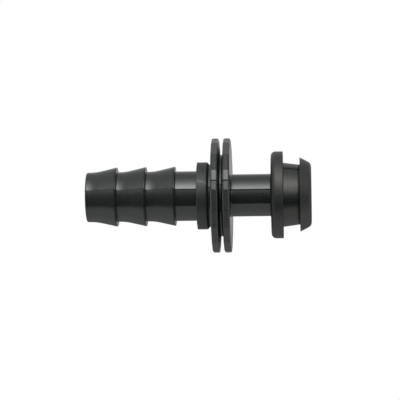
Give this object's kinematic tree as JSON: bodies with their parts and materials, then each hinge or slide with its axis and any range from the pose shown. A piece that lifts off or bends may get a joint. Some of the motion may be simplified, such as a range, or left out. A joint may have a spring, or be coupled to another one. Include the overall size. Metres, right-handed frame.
{
  "type": "drip line connector",
  "caption": "Barbed hose connector with flanged grip discs, a plain spigot and a rubber grommet that seals it in a drilled pipe wall.",
  "frame": {"origin": "centre of the grommet's flat end, where the water way leaves the spigot", "axes": "+Z along the water way towards the hose tip, X along a corner of the grip discs and square to the moulding's parting plane"},
  "size_m": [0.0312, 0.0308, 0.0616],
  "materials": {
    "body_plastic": "black moulded plastic, satin gloss",
    "grommet_rubber": "black moulded rubber, dull"
  },
  "bodies": {
    "root": {"connector_body": "body_plastic", "rubber_grommet": "grommet_rubber"}
  },
  "joints": []
}
